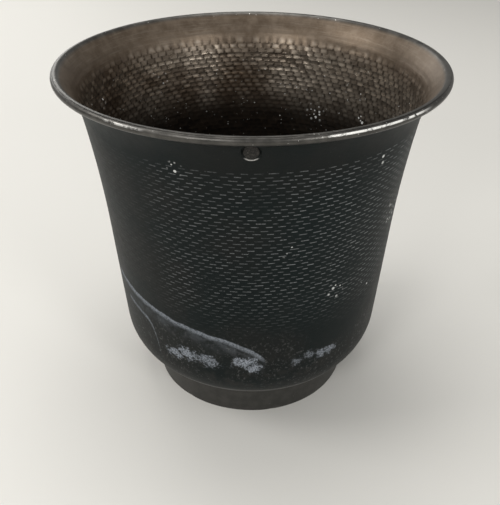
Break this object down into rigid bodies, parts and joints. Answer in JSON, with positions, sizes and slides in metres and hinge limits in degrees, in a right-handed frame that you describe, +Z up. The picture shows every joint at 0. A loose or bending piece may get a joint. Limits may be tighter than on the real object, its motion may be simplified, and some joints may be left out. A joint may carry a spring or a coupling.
{
  "type": "footed metal vessel",
  "caption": "Open black metal vessel with hammered walls, a flared lip with a rolled and wired edge, and a brazed foot ring.",
  "frame": {"origin": "centre of the foot ring's lower edge, in the plane that the vessel stands on", "axes": "+Z up along the vessel's axis, towards the mouth; -Y is the front, where the rivet is"},
  "size_m": [0.2974, 0.2974, 0.283],
  "materials": {
    "black_iron": "hammered sheet with a worn black skin, dull outside and glossy brown inside",
    "foot_iron": "satin brown-black band",
    "wire_iron": "bare drawn wire",
    "braze": "tarnished brazing metal",
    "rivet_iron": "filed flat, with fine swirling scratches"
  },
  "bodies": {
    "root": {"body": "black_iron", "rim_wire": "wire_iron", "foot_ring": "foot_iron", "foot_braze": "braze", "rim_rivet": "rivet_iron"}
  },
  "joints": []
}
